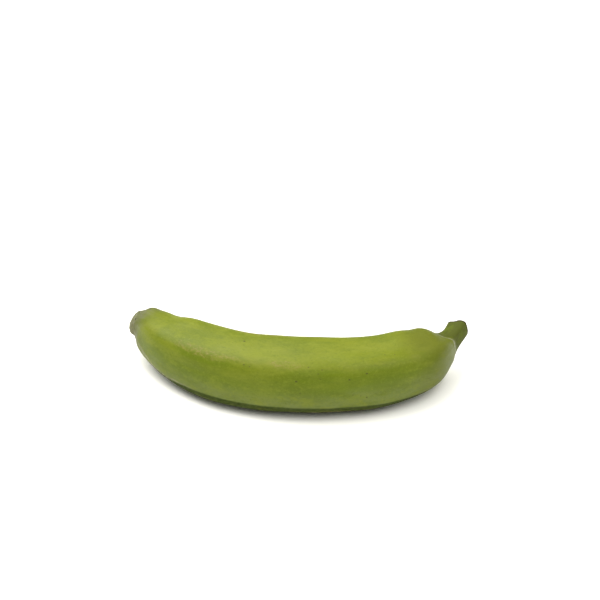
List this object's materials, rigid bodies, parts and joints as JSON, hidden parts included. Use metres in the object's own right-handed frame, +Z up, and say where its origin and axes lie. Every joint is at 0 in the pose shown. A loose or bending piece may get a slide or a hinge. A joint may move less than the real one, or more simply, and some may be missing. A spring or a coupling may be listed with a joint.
{
  "type": "green cooking banana",
  "caption": "Whole unripe cooking banana with soft lengthwise ridges, a cut stem and a blunt blossom end, lying on its belly.",
  "frame": {"origin": "middle of the fruit's footprint, on the surface that it rests on", "axes": "+X along the fruit from the blossom end to the cut stem, -Y the outer, bulging side of the bow, +Z up from the surface that it lies on"},
  "size_m": [0.2078, 0.0802, 0.0391],
  "materials": {
    "peel": "satin"
  },
  "bodies": {
    "root": {"banana": "peel"}
  },
  "joints": []
}
